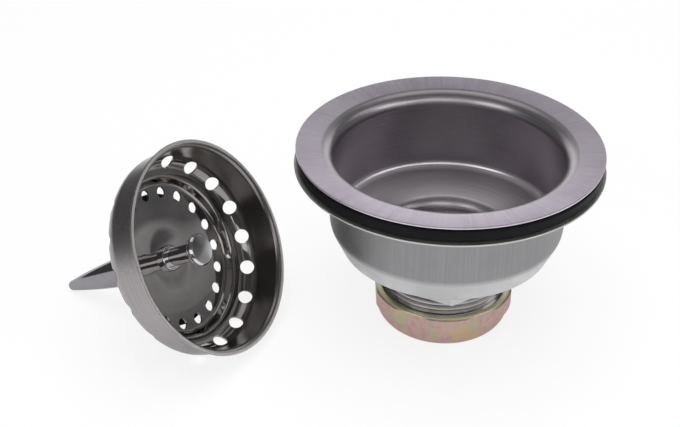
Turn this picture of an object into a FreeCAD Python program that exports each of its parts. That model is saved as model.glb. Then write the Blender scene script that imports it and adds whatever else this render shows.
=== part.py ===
import FreeCAD, Part
import math
import os
import re

import Sketcher

# Kitchen sink strainer: the drain body stands on its slip nut, with its lift-out basket lying beside it.
# Millimetres and degrees. The origin is the centre of the slip nut's bottom opening, with +Z up the drain's axis.

sizes = {
    # drain body, drawn from one sheet: flange, bowl, sloping floor and neck
    "body_sheet": 0.8,
    "flange_width": 9.246,
    "flange_dish": 4.9,
    "flange_edge_round": 0.4,
    "lip_round": 5.69,
    "bowl_depth": 32.94,
    "bowl_corner_round": 2.2,
    "bowl_floor_width": 20.3,
    "bowl_floor_slope": 17.0,
    "seat_round": 6.0,
    "tail_step": 3.1,
    # guide cross, spot-welded inside the neck
    "cross_height": 9.5,
    "cross_thick": 1.6,
    "cross_width": 6.0,
    "cross_eye_wall": 3.8,
    "cross_eye_clearance": 0.5,
    "cross_tab_rise": 4.5,
    "weld_gap": 0.02,
    # rings clamped under the flange
    "gasket_thick": 4.6,
    "gasket_inset": 0.15,
    "gasket_round": 1.0,
    "friction_thick": 0.3,
    "friction_inset": 0.4,
    "ring_clearance": 0.6,
    "stack_gap": 0.05,
    # locking cup, a deep shell with a hexagonal collar that runs on the neck's thread
    "cup_sheet": 0.75,
    "cup_clearance": 0.35,
    "cup_flange_proud": 0.7,
    "cup_bend_round": 2.0,
    "cup_band_rise": 9.77,
    "cup_band_slope": 25.2,
    "cup_band_round": 2.6,
    "cup_floor_rise": 5.1,
    "cup_floor_slope": 29.8,
    "collar_depth": 6.25,
    "collar_wall": 0.7,
    "collar_turn": 2.3,
    # slip nut and the washer inside it
    "thread_depth": 0.9,
    "thread_clearance": 0.1,
    "thread_shown": 7.55,
    "nut_wall": 2.2,
    "nut_height": 13.8,
    "nut_turn": 0.5,
    "nut_corner_ease": 3.08,
    "nut_foot_inset": 1.4,
    "nut_foot_rise": 4.6,
    "nut_foot_round": 7.0,
    "nut_crown_inset": 0.3,
    "nut_crown_drop": 0.35,
    "nut_mouth": 0.6,
    "nut_lip_thick": 1.7,
    "tail_bore": 19.3,
    "washer_thick": 2.6,
    "washer_clearance": 0.3,
    "washer_bevel": 0.6,
    # basket shell, with its rim a little smaller than the bowl
    "basket_sheet": 0.7,
    "basket_room": 1.5,
    "rim_round": 2.2,
    "rim_edge": 0.45,
    "wall_taper": 0.25,
    "wall_depth": 11.2,
    "shoulder_round": 6.3,
    "ridge_round": 1.6,
    "ridge_slope": 62.0,
    "basin_round": 1.8,
    "floor_depth": 21.0,
    "floor_dish": 2.0,
    "hole_count": 18,
    "shoulder_hole_radius": 2.8,
    "shoulder_hole_lean": 47.0,
    "floor_hole_radius": 2.1,
    "floor_hole_edge": 0.3,
    "hole_overrun": 2.0,
    # knob post and the ferrule at its foot
    "post_radius": 3.2,
    "stud_radius": 2.0,
    "stud_length": 9.0,
    "stud_clearance": 0.05,
    "knob_drop": 5.0,
    "knob_radius": 6.25,
    "knob_dome": 0.45,
    "knob_bevel": 0.75,
    "knob_rim": 0.7,
    "knob_cone": 1.1,
    "knob_throat_radius": 4.2,
    "knob_throat": 0.6,
    "knob_ring_radius": 5.0,
    "knob_ring_thick": 0.9,
    "ferrule_radius": 5.1,
    "ferrule_height": 1.8,
    "ferrule_round": 0.6,
    # stopper, backing washer and guide spear under the basket's floor
    "stopper_inset": 1.8,
    "stopper_hub_radius": 11.0,
    "stopper_drop": 0.2,
    "stopper_thick": 4.0,
    "stopper_round": 0.7,
    "stopper_lip_inset": 0.8,
    "stopper_lip_rise": 1.1,
    "backing_radius": 10.0,
    "backing_thick": 1.2,
    "spear_radius": 6.7,
    "spear_length": 50.7,
    "spear_tip": 2.42,
    # where the basket lies on the table
    "basket_gap": 30.35,
    "basket_y": -16.55,
    "basket_heading": -25.0,
    "basket_roll": 10.7,
}

# heights, radii and lengths that several pieces share, worked out from the sizes above;
# the basket's heights are measured up from the tip of its guide spear
shared = {
    "neck_bore": "tail_bore + tail_step",
    "neck_outside": "neck_bore + body_sheet",
    "thread_bore": "neck_outside + thread_depth + thread_clearance",
    "nut_corner": "2 * (thread_bore + nut_wall) / sqrt(3)",
    "nut_blank_radius": "nut_corner - nut_corner_ease",
    "nut_foot_radius": "thread_bore + nut_wall - nut_foot_inset",
    "nut_crown_radius": "nut_blank_radius - nut_crown_inset",
    "washer_low": "nut_lip_thick + stack_gap",
    "washer_top": "washer_low + washer_thick",
    "neck_end": "washer_top + stack_gap",
    "bowl_radius": "neck_bore + bowl_floor_width",
    "lip_start": "bowl_radius + lip_round * (1 - sin(flange_dish))",
    "flange_radius": "lip_start + flange_width",
    "wall_outside": "bowl_radius + body_sheet",
    "cup_inside": "wall_outside + cup_clearance",
    "cup_outside": "cup_inside + cup_sheet",
    "collar_corner": "2 * (thread_bore + collar_wall) / sqrt(3)",
    "collar_height": "nut_height + thread_shown",
    "cup_floor_height": "collar_height + collar_depth",
    "cup_floor_mid": "cup_floor_height + cup_sheet / 2",
    "cup_band_height": "cup_floor_height + cup_floor_rise",
    "cup_crease_height": "cup_band_height + cup_band_rise",
    "band_radius": "cup_outside - cup_band_rise * tan(cup_band_slope)",
    "band_tangent": "cup_band_round * tan((90 - cup_band_slope - cup_floor_slope) / 2)",
    "cup_flat_radius": "band_radius - cup_floor_rise / tan(cup_floor_slope)",
    "bowl_tangent": "bowl_corner_round * tan((90 - bowl_floor_slope) / 2)",
    "bowl_floor_height": "cup_crease_height - bowl_tangent"
                         " + (cup_outside - bowl_radius + bowl_corner_round) * tan(cup_band_slope / 2)",
    "seat_corner": "bowl_floor_height - bowl_floor_width * tan(bowl_floor_slope)",
    "seat_tangent": "seat_round * tan((90 - bowl_floor_slope) / 2)",
    "flange_height": "bowl_floor_height + bowl_depth",
    "flange_edge_tangent": "flange_edge_round * tan((90 + flange_dish) / 2)",
    "lip_height": "flange_height - flange_width * tan(flange_dish)",
    "lip_low": "lip_height - lip_round * cos(flange_dish)",
    "flange_under": "lip_height - body_sheet",
    "gasket_radius": "flange_radius - gasket_inset",
    "friction_radius": "flange_radius - friction_inset",
    "cup_flange_radius": "flange_radius + cup_flange_proud",
    "gasket_low": "flange_under - gasket_thick",
    "friction_top": "gasket_low - stack_gap",
    "friction_low": "friction_top - friction_thick",
    "cup_top": "friction_low - stack_gap",
    "cup_bend_low": "cup_top - cup_sheet - cup_bend_round",
    "stud_hole": "stud_radius + stud_clearance",
    "cross_eye_hole": "spear_radius + cross_eye_clearance",
    "stopper_low": "spear_length + backing_thick",
    "hub_under": "stopper_low + stopper_thick",
    "hub_top": "hub_under + basket_sheet",
    "floor_under": "hub_under + floor_dish",
    "floor_top": "hub_top + floor_dish",
    "rim_height": "floor_top + floor_depth",
    "rim_radius": "bowl_radius - basket_room",
    "rim_lip_radius": "rim_radius - rim_edge",
    "rim_lip_low": "rim_height - rim_round",
    "wall_top_radius": "rim_lip_radius - rim_round",
    "wall_low_radius": "wall_top_radius - wall_taper",
    "wall_low": "rim_height - wall_depth",
    "shoulder_radius": "wall_low_radius - shoulder_round",
    "shoulder_low": "wall_low - shoulder_round",
    "ridge_tangent": "ridge_round * tan(ridge_slope / 2)",
    "ridge_radius": "shoulder_radius - ridge_tangent",
    "basin_tangent": "basin_round * tan(ridge_slope / 2)",
    "basin_radius": "ridge_radius - (shoulder_low - floor_top) / tan(ridge_slope)",
    "floor_radius": "basin_radius - basin_tangent",
    "floor_hole_circle": "floor_radius - floor_hole_edge - floor_hole_radius",
    "stopper_radius": "floor_radius - stopper_inset",
    "stud_low": "spear_length - stud_length",
    "spear_arc": "(spear_radius ^ 2 + spear_length ^ 2 - 2 * spear_tip * spear_length)"
                 " / (2 * spear_radius - 2 * spear_tip)",
    "knob_top": "rim_height - knob_drop",
    "knob_face_radius": "knob_radius - knob_bevel",
    "knob_rim_top": "knob_top - knob_dome - knob_bevel",
    "knob_rim_low": "knob_rim_top - knob_rim",
    "knob_cone_low": "knob_rim_low - knob_cone",
    "knob_ring_top": "knob_cone_low - knob_throat",
    "knob_ring_low": "knob_ring_top - knob_ring_thick",
}

doc = FreeCAD.newDocument("sink_strainer")
sheet = doc.addObject("Spreadsheet::Sheet", "dim")
for row, (name, value) in enumerate(sizes.items(), 1):
    sheet.set(f"A{row}", name)
    sheet.set(f"B{row}", str(value))
    sheet.setAlias(f"B{row}", name)
for row, (name, formula) in enumerate(shared.items(), 1):
    sheet.set(f"C{row}", name)
    sheet.set(f"D{row}", "=" + formula)
    sheet.setAlias(f"D{row}", name)
doc.recompute()
named = {**sizes, **shared}
pieces = []


def bound(formula):
    """The formula as another object writes it, with each name led back to its cell."""
    return re.sub(r"[a-z_]+", lambda word: "dim." + word[0] if word[0] in named else word[0], formula)


def worked(formula):
    """The formula's value, worked out by the sheet."""
    sheet.set("E1", "=" + formula)
    sheet.recompute()
    value = float(sheet.get("E1"))
    sheet.clear("E1")
    return value


def plane(body, role):
    """One of the body's own origin planes or axes."""
    return next(part for part in body.Origin.OriginFeatures if part.Role == role)


def bind(thing, **formulas):
    """Tie properties to formulas; a double underscore stands for a dot in the property's path."""
    for path, formula in formulas.items():
        thing.setExpression(path.replace("__", "."), bound(formula))


def arc_centre(start, end, radius, side):
    """Centre of the smaller arc from start to end, on the named side of the way travelled."""
    chord = end - start
    half = chord.Length / 2
    reach = math.sqrt(max(radius ** 2 - half ** 2, 0))
    across = FreeCAD.Vector(-chord.y, chord.x, 0).normalize()
    return (start + end) / 2 + across * (reach if side == "left" else -reach)


def outline(body, points):
    """A closed sketch of (radius, height) points; a point that also has a radius and a side begins an arc."""
    sketch = body.newObject("Sketcher::SketchObject", "outline")
    sketch.AttachmentSupport = [(plane(body, "XZ_Plane"), "")]
    sketch.MapMode = "FlatFace"
    corners = [FreeCAD.Vector(worked(point[0]), worked(point[1]), 0) for point in points]
    runs = []
    for index, point in enumerate(points):
        start = corners[index]
        end = corners[(index + 1) % len(points)]
        if len(point) == 2:
            runs.append((sketch.addGeometry(Part.LineSegment(start, end)), 1, 2))
            continue
        centre = arc_centre(start, end, worked(point[2]), point[3])
        first, last = (start, end) if point[3] == "left" else (end, start)
        angles = [math.atan2(spot.y - centre.y, spot.x - centre.x) for spot in (first, last)]
        circle = Part.Circle(centre, FreeCAD.Vector(0, 0, 1), (start - centre).Length)
        arc = sketch.addGeometry(Part.ArcOfCircle(circle, angles[0], angles[1]))
        runs.append((arc, 1, 2) if point[3] == "left" else (arc, 2, 1))
    for index, (run, head, tail) in enumerate(runs):
        follower = runs[(index + 1) % len(runs)]
        sketch.addConstraint(Sketcher.Constraint("Coincident", run, tail, follower[0], follower[1]))
    for (run, head, tail), corner, point in zip(runs, corners, points):
        for axis, formula, value, other in (("X", point[0], corner.x, -2), ("Y", point[1], corner.y, -1)):
            if formula == "0":
                sketch.addConstraint(Sketcher.Constraint("PointOnObject", run, head, other))
                continue
            tie = sketch.addConstraint(Sketcher.Constraint("Distance" + axis, -1, 1, run, head, value))
            sketch.setExpression(f"Constraints[{tie}]", bound(formula))
        if len(point) > 2:
            tie = sketch.addConstraint(Sketcher.Constraint("Radius", run, worked(point[2])))
            sketch.setExpression(f"Constraints[{tie}]", bound(point[2]))
    return sketch


def turned(name, points):
    """A body turned about the Z axis from an outline."""
    body = doc.addObject("PartDesign::Body", name)
    sketch = outline(body, points)
    turn = body.newObject("PartDesign::Revolution", "turn")
    turn.Profile = sketch
    turn.ReferenceAxis = (sketch, ["V_Axis"])
    turn.Angle = 360
    return body


def keep(piece, label):
    """Note a finished sub-part under its label."""
    piece.Label = label
    pieces.append(piece)
    return piece


# Drain body: dished flange, bowl with a sloping floor, rounded stopper seat and plain neck
keep(turned("drain_shell", [
    ("lip_start", "lip_height", "lip_round", "left"),
    ("bowl_radius", "lip_low"),
    ("bowl_radius", "bowl_floor_height + bowl_tangent", "bowl_corner_round", "right"),
    ("bowl_radius - bowl_tangent * cos(bowl_floor_slope)",
     "bowl_floor_height - bowl_tangent * sin(bowl_floor_slope)"),
    ("neck_bore + seat_tangent * cos(bowl_floor_slope)",
     "seat_corner + seat_tangent * sin(bowl_floor_slope)", "seat_round", "left"),
    ("neck_bore", "seat_corner - seat_tangent"),
    ("neck_bore", "neck_end"),
    ("neck_outside", "neck_end"),
    ("neck_outside", "seat_corner - seat_tangent", "seat_round - body_sheet", "right"),
    ("neck_bore + seat_tangent * cos(bowl_floor_slope) + body_sheet * sin(bowl_floor_slope)",
     "seat_corner + seat_tangent * sin(bowl_floor_slope) - body_sheet * cos(bowl_floor_slope)"),
    ("bowl_radius - bowl_tangent * cos(bowl_floor_slope) + body_sheet * sin(bowl_floor_slope)",
     "bowl_floor_height - bowl_tangent * sin(bowl_floor_slope) - body_sheet * cos(bowl_floor_slope)",
     "bowl_corner_round + body_sheet", "left"),
    ("wall_outside", "bowl_floor_height + bowl_tangent"),
    ("wall_outside", "lip_low", "lip_round - body_sheet", "right"),
    ("lip_start + body_sheet * sin(flange_dish)", "lip_height - body_sheet * cos(flange_dish)"),
    ("flange_radius", "flange_height - body_sheet / cos(flange_dish)"),
    ("flange_radius", "flange_height - flange_edge_tangent", "flange_edge_round", "left"),
    ("flange_radius - flange_edge_tangent * cos(flange_dish)",
     "flange_height - flange_edge_tangent * sin(flange_dish)"),
]), "strainer_body")


# Guide cross: two straps with an eye for the spear, and tabs turned up against the neck
def strap(name, along, across):
    """One strap of the cross with the tabs at its ends, before it is trimmed to the neck."""
    bar = doc.addObject("Part::Box", name)
    bind(bar, Length=along, Width=across, Height="cross_thick", Placement__Base__x=f"-({along}) / 2",
         Placement__Base__y=f"-({across}) / 2", Placement__Base__z="cross_height")
    tabs = doc.addObject("Part::Box", name + "_tabs")
    bind(tabs, Length=along, Width=across, Height="cross_tab_rise", Placement__Base__x=f"-({along}) / 2",
         Placement__Base__y=f"-({across}) / 2", Placement__Base__z="cross_height")
    return bar, tabs


def fused(name, *parts):
    """Several solids joined into one."""
    whole = doc.addObject("Part::MultiFuse", name)
    whole.Shapes = list(parts)
    whole.Refine = True
    return whole


def joined(kind, name, base, tool):
    """A Part boolean of two solids."""
    result = doc.addObject("Part::" + kind, name)
    result.Base = base
    result.Tool = tool
    result.Refine = True
    return result


def upright(name, radius, height, low):
    """A cylinder on the Z axis."""
    post = doc.addObject("Part::Cylinder", name)
    bind(post, Radius=radius, Height=height, Placement__Base__z=low)
    return post


long_bar, long_tabs = strap("long_bar", "2 * neck_bore", "cross_width")
wide_bar, wide_tabs = strap("wide_bar", "cross_width", "2 * neck_bore")
tab_room = upright("tab_room", "neck_bore - weld_gap - cross_thick", "cross_tab_rise", "cross_height")
tabs = joined("Cut", "cross_tabs", fused("tab_bars", long_tabs, wide_tabs), tab_room)
eye = upright("cross_eye", "cross_eye_hole + cross_eye_wall", "cross_thick", "cross_height")
neck_room = upright("neck_room", "neck_bore - weld_gap", "cross_tab_rise", "cross_height")
cross_blank = joined("Common", "cross_blank", fused("cross_bars", long_bar, wide_bar, eye, tabs), neck_room)
spear_hole = upright("spear_hole", "cross_eye_hole", "cross_thick", "cross_height")
keep(joined("Cut", "cross", cross_blank, spear_hole), "guide_cross")

# Rubber gasket and thin friction washer under the flange
keep(turned("gasket", [
    ("lip_start + ring_clearance", "flange_under"),
    ("lip_start + ring_clearance", "gasket_low"),
    ("gasket_radius - gasket_round", "gasket_low", "gasket_round", "left"),
    ("gasket_radius", "gasket_low + gasket_round"),
    ("gasket_radius", "flange_under - gasket_round", "gasket_round", "left"),
    ("gasket_radius - gasket_round", "flange_under"),
]), "rim_gasket")
keep(turned("friction_ring", [
    ("wall_outside + ring_clearance", "friction_top"),
    ("wall_outside + ring_clearance", "friction_low"),
    ("friction_radius", "friction_low"),
    ("friction_radius", "friction_top"),
]), "friction_washer")

# Locking cup: flange, straight wall, conical band and floor, with the hexagonal collar below
cup_shell = turned("cup_shell", [
    ("cup_flange_radius", "cup_top"),
    ("cup_outside + cup_bend_round", "cup_top", "cup_bend_round + cup_sheet", "left"),
    ("cup_inside", "cup_bend_low"),
    ("cup_inside", "cup_crease_height + cup_sheet * tan(cup_band_slope / 2)"),
    ("band_radius + band_tangent * sin(cup_band_slope) - cup_sheet * cos(cup_band_slope)",
     "cup_band_height + band_tangent * cos(cup_band_slope) + cup_sheet * sin(cup_band_slope)",
     "cup_band_round - cup_sheet", "right"),
    ("band_radius - band_tangent * cos(cup_floor_slope) - cup_sheet * sin(cup_floor_slope)",
     "cup_band_height - band_tangent * sin(cup_floor_slope) + cup_sheet * cos(cup_floor_slope)"),
    ("cup_flat_radius - cup_sheet * tan(cup_floor_slope / 2)", "cup_floor_height + cup_sheet"),
    ("thread_bore", "cup_floor_height + cup_sheet"),
    ("thread_bore", "cup_floor_height"),
    ("cup_flat_radius", "cup_floor_height"),
    ("band_radius - band_tangent * cos(cup_floor_slope)",
     "cup_band_height - band_tangent * sin(cup_floor_slope)", "cup_band_round", "left"),
    ("band_radius + band_tangent * sin(cup_band_slope)",
     "cup_band_height + band_tangent * cos(cup_band_slope)"),
    ("cup_outside", "cup_crease_height"),
    ("cup_outside", "cup_bend_low", "cup_bend_round", "right"),
    ("cup_outside + cup_bend_round", "cup_top - cup_sheet"),
    ("cup_flange_radius", "cup_top - cup_sheet"),
])


def hexagon(name, corner, height, low, angle):
    """An upright hexagonal prism with a corner towards -Y, turned by an angle."""
    prism = doc.addObject("Part::Prism", name)
    prism.Polygon = 6
    prism.Placement = FreeCAD.Placement(FreeCAD.Vector(), FreeCAD.Rotation(FreeCAD.Vector(0, 0, 1), 1))
    bind(prism, Circumradius=corner, Height=height, Placement__Base__z=low,
         Placement__Rotation__Angle=f"{angle} - 90")
    return prism


collar = hexagon("collar", "collar_corner", "cup_floor_mid - collar_height", "collar_height", "collar_turn")
collar_bore = upright("collar_bore", "thread_bore", "cup_floor_mid - collar_height", "collar_height")
collar_ring = joined("Cut", "collar_ring", collar, collar_bore)
keep(fused("cup", cup_shell, collar_ring), "locking_cup")

# Slip nut: a turned blank trimmed to a hexagon, and the washer that seals it to the tail pipe
nut_blank = turned("nut_blank", [
    ("tail_bore", "0"),
    ("nut_foot_radius", "0", "nut_foot_round", "left"),
    ("nut_blank_radius", "nut_foot_rise"),
    ("nut_blank_radius", "nut_height - nut_crown_drop"),
    ("nut_crown_radius", "nut_height"),
    ("thread_bore + nut_mouth", "nut_height"),
    ("thread_bore", "nut_height - nut_mouth"),
    ("thread_bore", "nut_lip_thick"),
    ("tail_bore", "nut_lip_thick"),
])
nut_hexagon = hexagon("nut_hexagon", "nut_corner", "nut_height", "0", "nut_turn")
keep(joined("Common", "nut", nut_blank, nut_hexagon), "slip_nut")
keep(turned("washer", [
    ("tail_bore + washer_clearance", "washer_low"),
    ("thread_bore - washer_clearance", "washer_low"),
    ("thread_bore - washer_clearance", "washer_top - washer_bevel"),
    ("thread_bore - washer_clearance - washer_bevel", "washer_top"),
    ("tail_bore + washer_clearance", "washer_top"),
]), "slip_washer")

# Basket shell: flared rim, wall, rounded shoulder, step down to the dished floor, and two circles of holes
basket = turned("basket", [
    ("rim_radius", "rim_height"),
    ("rim_lip_radius", "rim_height", "rim_round", "left"),
    ("wall_top_radius", "rim_lip_low"),
    ("wall_low_radius", "wall_low", "shoulder_round", "right"),
    ("shoulder_radius", "shoulder_low", "ridge_round", "left"),
    ("ridge_radius - ridge_tangent * cos(ridge_slope)", "shoulder_low - ridge_tangent * sin(ridge_slope)"),
    ("basin_radius + basin_tangent * cos(ridge_slope)", "floor_top + basin_tangent * sin(ridge_slope)",
     "basin_round", "right"),
    ("floor_radius", "floor_top"),
    ("stopper_hub_radius", "hub_top"),
    ("stud_hole", "hub_top"),
    ("stud_hole", "hub_under"),
    ("stopper_hub_radius", "hub_under"),
    ("floor_radius", "floor_under", "basin_round + basket_sheet", "left"),
    ("basin_radius + basin_tangent * cos(ridge_slope) + basket_sheet * sin(ridge_slope)",
     "floor_top + basin_tangent * sin(ridge_slope) - basket_sheet * cos(ridge_slope)"),
    ("ridge_radius - ridge_tangent * cos(ridge_slope) + basket_sheet * sin(ridge_slope)",
     "shoulder_low - ridge_tangent * sin(ridge_slope) - basket_sheet * cos(ridge_slope)",
     "ridge_round - basket_sheet", "right"),
    ("shoulder_radius", "shoulder_low - basket_sheet", "shoulder_round + basket_sheet", "left"),
    ("wall_low_radius + basket_sheet", "wall_low"),
    ("wall_top_radius + basket_sheet", "rim_lip_low", "rim_round - basket_sheet", "right"),
    ("rim_lip_radius", "rim_height - basket_sheet"),
    ("rim_radius", "rim_height - basket_sheet"),
])


def hole_circle(body, name, radius, reach, height, lean):
    """A circle of round holes; each drill starts at a radius and height and leans out from straight down."""
    drill = body.newObject("PartDesign::SubtractiveCylinder", name)
    drill.AttachmentSupport = [(plane(body, "XY_Plane"), "")]
    drill.MapMode = "FlatFace"
    lying = FreeCAD.Rotation(FreeCAD.Vector(0, 1, 0), 90)
    drill.AttachmentOffset = FreeCAD.Placement(FreeCAD.Vector(), lying)
    bind(drill, Radius=radius, Height="basket_sheet + 2 * hole_overrun", AttachmentOffset__Base__x=reach,
         AttachmentOffset__Base__z=height, AttachmentOffset__Rotation__Angle=f"180 - {lean}")
    ring = body.newObject("PartDesign::PolarPattern", name + "_circle")
    ring.Originals = [drill]
    ring.Axis = (plane(body, "Z_Axis"), [""])
    ring.Angle = 360
    bind(ring, Occurrences="hole_count")
    body.Tip = ring


shoulder_start = "(shoulder_round - hole_overrun)"
hole_circle(basket, "shoulder_hole", "shoulder_hole_radius",
            f"shoulder_radius + {shoulder_start} * sin(shoulder_hole_lean)",
            f"wall_low - {shoulder_start} * cos(shoulder_hole_lean)", "shoulder_hole_lean")
hole_circle(basket, "floor_hole", "floor_hole_radius", "floor_hole_circle", "floor_top + hole_overrun", "0")
keep(basket, "basket_shell")

# Knob post with its stud, the ferrule at its foot, and what the stud holds under the floor
keep(turned("post", [
    ("0", "knob_top"),
    ("0", "stud_low"),
    ("stud_radius", "stud_low"),
    ("stud_radius", "hub_top"),
    ("post_radius", "hub_top"),
    ("post_radius", "knob_ring_low"),
    ("knob_ring_radius", "knob_ring_low"),
    ("knob_ring_radius", "knob_ring_top"),
    ("knob_throat_radius", "knob_ring_top"),
    ("knob_throat_radius", "knob_cone_low"),
    ("knob_radius", "knob_rim_low"),
    ("knob_radius", "knob_rim_top"),
    ("knob_face_radius", "knob_top - knob_dome",
     "(knob_face_radius ^ 2 + knob_dome ^ 2) / (2 * knob_dome)", "left"),
]), "knob_post")
keep(turned("ferrule", [
    ("post_radius + stud_clearance", "hub_top"),
    ("ferrule_radius", "hub_top"),
    ("ferrule_radius", "hub_top + ferrule_height - ferrule_round", "ferrule_round", "left"),
    ("ferrule_radius - ferrule_round", "hub_top + ferrule_height"),
    ("post_radius + stud_clearance", "hub_top + ferrule_height"),
]), "post_ferrule")
keep(turned("seal", [
    ("stud_hole", "hub_under"),
    ("stopper_hub_radius", "hub_under"),
    ("stopper_radius - stopper_round", "hub_under - stopper_drop", "stopper_round", "right"),
    ("stopper_radius", "hub_under - stopper_drop - stopper_round"),
    ("stopper_radius - stopper_lip_inset",
     "hub_under - stopper_drop - stopper_round - stopper_lip_rise"),
    ("stopper_hub_radius", "stopper_low"),
    ("stud_hole", "stopper_low"),
]), "stopper")
keep(turned("backing", [
    ("stud_hole", "stopper_low"),
    ("backing_radius", "stopper_low"),
    ("backing_radius", "spear_length"),
    ("stud_hole", "spear_length"),
]), "backing_washer")
keep(turned("spear", [
    ("0", "stud_low"),
    ("stud_hole", "stud_low"),
    ("stud_hole", "spear_length"),
    ("spear_radius", "spear_length", "spear_arc", "right"),
    ("spear_tip * (spear_arc - spear_radius) / (spear_arc - spear_tip)",
     "spear_tip + spear_tip * (spear_tip - spear_length) / (spear_arc - spear_tip)", "spear_tip", "right"),
    ("0", "0"),
]), "guide_spear")


def basket_rest():
    """The basket's place on the table, resting on its shoulder and on the round tip of its spear."""
    tip = worked("spear_tip")
    rise = worked("wall_low - spear_tip")
    reach = worked("shoulder_radius")
    turn = worked("shoulder_round + basket_sheet - spear_tip")
    lean = math.atan2(reach, rise) + math.asin(turn / math.hypot(rise, reach))
    heading = FreeCAD.Rotation(FreeCAD.Vector(0, 0, 1), worked("basket_heading"))
    tilt = FreeCAD.Rotation(FreeCAD.Vector(0, 1, 0), 90 - math.degrees(lean))
    roll = FreeCAD.Rotation(FreeCAD.Vector(0, 0, 1), worked("basket_roll"))
    lying = heading.multiply(tilt)
    rim = FreeCAD.Vector(-worked("cup_flange_radius + basket_gap"), worked("basket_y"), 0)
    spot = rim - lying.multVec(FreeCAD.Vector(0, 0, worked("rim_height")))
    spot.z = tip * (1 - math.sin(lean))
    return FreeCAD.Placement(spot, lying.multiply(roll))


basket_pieces = {"basket_shell", "knob_post", "post_ferrule", "stopper", "backing_washer", "guide_spear"}
for piece in pieces:
    if piece.Label in basket_pieces:
        piece.Placement = basket_rest()

doc.recompute()
failed = [part.Name for part in doc.Objects if {"Invalid", "Error"} & set(part.State)]
if failed:
    raise RuntimeError("failed: " + ", ".join(failed))
for piece in pieces:
    shape = piece.Shape
    if shape.isNull() or not shape.isValid() or len(shape.Solids) != 1:
        raise RuntimeError("bad shape: " + piece.Label)
os.makedirs("parts", exist_ok=True)
for piece in pieces:
    piece.Shape.exportStep(f"parts/{piece.Label}.step")
    print(piece.Label, round(piece.Shape.Volume), "mm3")
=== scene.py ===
import math

import bmesh
import bpy
from mathutils import Matrix, Vector


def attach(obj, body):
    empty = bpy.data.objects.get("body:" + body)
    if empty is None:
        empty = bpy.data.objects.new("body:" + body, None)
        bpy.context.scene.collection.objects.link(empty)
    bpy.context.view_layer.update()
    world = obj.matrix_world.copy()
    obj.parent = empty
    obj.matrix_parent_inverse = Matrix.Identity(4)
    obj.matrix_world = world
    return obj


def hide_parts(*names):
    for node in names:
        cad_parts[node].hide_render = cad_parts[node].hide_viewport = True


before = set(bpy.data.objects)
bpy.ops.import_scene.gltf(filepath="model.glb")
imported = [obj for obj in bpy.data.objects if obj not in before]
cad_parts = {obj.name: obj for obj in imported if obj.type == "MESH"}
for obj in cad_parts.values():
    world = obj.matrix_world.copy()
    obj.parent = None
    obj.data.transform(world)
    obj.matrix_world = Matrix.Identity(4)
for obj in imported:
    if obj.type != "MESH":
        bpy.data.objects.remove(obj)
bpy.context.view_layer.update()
mm = 0.001
fullTurn = 2 * math.pi
spinSteps = 192  # faces round the drain and the basket
smallSteps = 96  # faces round the thread and the basket's fittings
roundSteps = 8  # faces across the rounded corner of an outline
mergeReach = mm / 500
smoothAngle = 32
overrun = 1.0  # how far a cutting bar reaches past the piece, in millimetres
print("frame loaded with", len(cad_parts), "nodes")


# modelling helpers

def slopeRise(across, degrees):  # how far a slope climbs over that width
    return across * math.tan(math.radians(degrees))


def slopeReach(climb, degrees):  # how wide a slope is that climbs that far
    return climb / math.tan(math.radians(degrees))


def deselect():
    if bpy.context.mode != "OBJECT":
        bpy.ops.object.mode_set(mode="OBJECT")
    bpy.ops.object.select_all(action="DESELECT")


def pickOnly(piece):
    deselect()
    piece.select_set(True)
    bpy.context.view_layer.objects.active = piece


def editAll(piece):
    pickOnly(piece)
    bpy.ops.object.mode_set(mode="EDIT")
    bpy.ops.mesh.select_all(action="SELECT")


def pickVertices(piece, *spots):  # the vertices nearest these places
    bpy.ops.mesh.select_all(action="DESELECT")
    mesh = bmesh.from_edit_mesh(piece.data)
    for spot in spots:
        min(mesh.verts, key=lambda vertex: (vertex.co - spot).length).select = True
    mesh.select_flush(True)
    bmesh.update_edit_mesh(piece.data)


def pickEdges(piece, wanted):  # the edges that the test picks
    bpy.ops.mesh.select_mode(type="EDGE")
    bpy.ops.mesh.select_all(action="DESELECT")
    mesh = bmesh.from_edit_mesh(piece.data)
    for edge in mesh.edges:
        edge.select = wanted(edge)
    bmesh.update_edit_mesh(piece.data)


def drawOutline(name, corners, closed=False):
    # radius and height of each corner in millimetres, then its rounding where it has one
    deselect()
    bpy.ops.mesh.primitive_plane_add(size=mm, enter_editmode=True)
    piece = bpy.context.object
    piece.name = piece.data.name = name
    bpy.ops.mesh.select_mode(type="VERT")
    bpy.ops.mesh.merge(type="CENTER")
    spots = [Vector((corner[0], 0, corner[1])) * mm for corner in corners]
    bpy.ops.transform.translate(value=spots[0])
    for last, spot in zip(spots, spots[1:]):
        bpy.ops.mesh.extrude_region_move(TRANSFORM_OT_translate={"value": spot - last})
    if closed:
        pickVertices(piece, spots[0], spots[-1])
        bpy.ops.mesh.edge_face_add()
    for index, corner in enumerate(corners):
        if len(corner) > 2:
            before, spot, after = spots[index - 1], spots[index], spots[(index + 1) % len(spots)]
            reach = corner[2] * mm * math.tan((spot - before).angle(after - spot) / 2)
            pickVertices(piece, spot)
            bpy.ops.mesh.bevel(offset=reach, segments=roundSteps, affect="VERTICES", profile=0.5)
    return piece


def spinRound(piece, steps=spinSteps):
    bpy.ops.mesh.select_all(action="SELECT")
    bpy.ops.mesh.spin(steps=steps, angle=fullTurn, center=(0, 0, 0), axis=(0, 0, 1))
    bpy.ops.mesh.select_all(action="SELECT")
    bpy.ops.mesh.remove_doubles(threshold=mergeReach)
    bpy.ops.mesh.normals_make_consistent(inside=False)
    bpy.ops.object.mode_set(mode="OBJECT")
    return piece


def finishWith(piece, kind, **settings):
    modifier = piece.modifiers.new(kind.lower(), kind)
    for name, value in settings.items():
        setattr(modifier, name, value)
    pickOnly(piece)
    bpy.ops.object.modifier_apply(modifier=modifier.name)


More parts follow.
